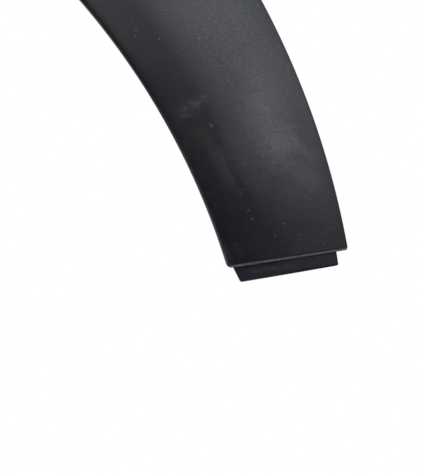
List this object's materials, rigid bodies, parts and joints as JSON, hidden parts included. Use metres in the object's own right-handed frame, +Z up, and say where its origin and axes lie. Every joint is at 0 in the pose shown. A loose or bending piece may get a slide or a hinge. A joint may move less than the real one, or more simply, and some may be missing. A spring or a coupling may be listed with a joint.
{
  "type": "wheel arch trim",
  "caption": "Curved black moulded trim for a car's wheel opening, with a rolled wheel-side flange, a stepped joint tongue at one end, and push-in clips and screw ears on its back.",
  "frame": {"origin": "axis of the main locating pin at the top of the arch, in the plane of the wing it lies on", "axes": "+X along the car to the end with the joint tongue, +Y inboard to the wing and away from the visible face, +Z up"},
  "size_m": [0.8582, 0.049, 0.5222],
  "materials": {
    "grained_plastic": "black polypropylene with a fine moulded grain and a low sheen",
    "clip_nylon": "natural nylon, smooth and dull"
  },
  "bodies": {
    "root": {"arch_moulding": "grained_plastic", "panel_clips": "clip_nylon"}
  },
  "joints": []
}
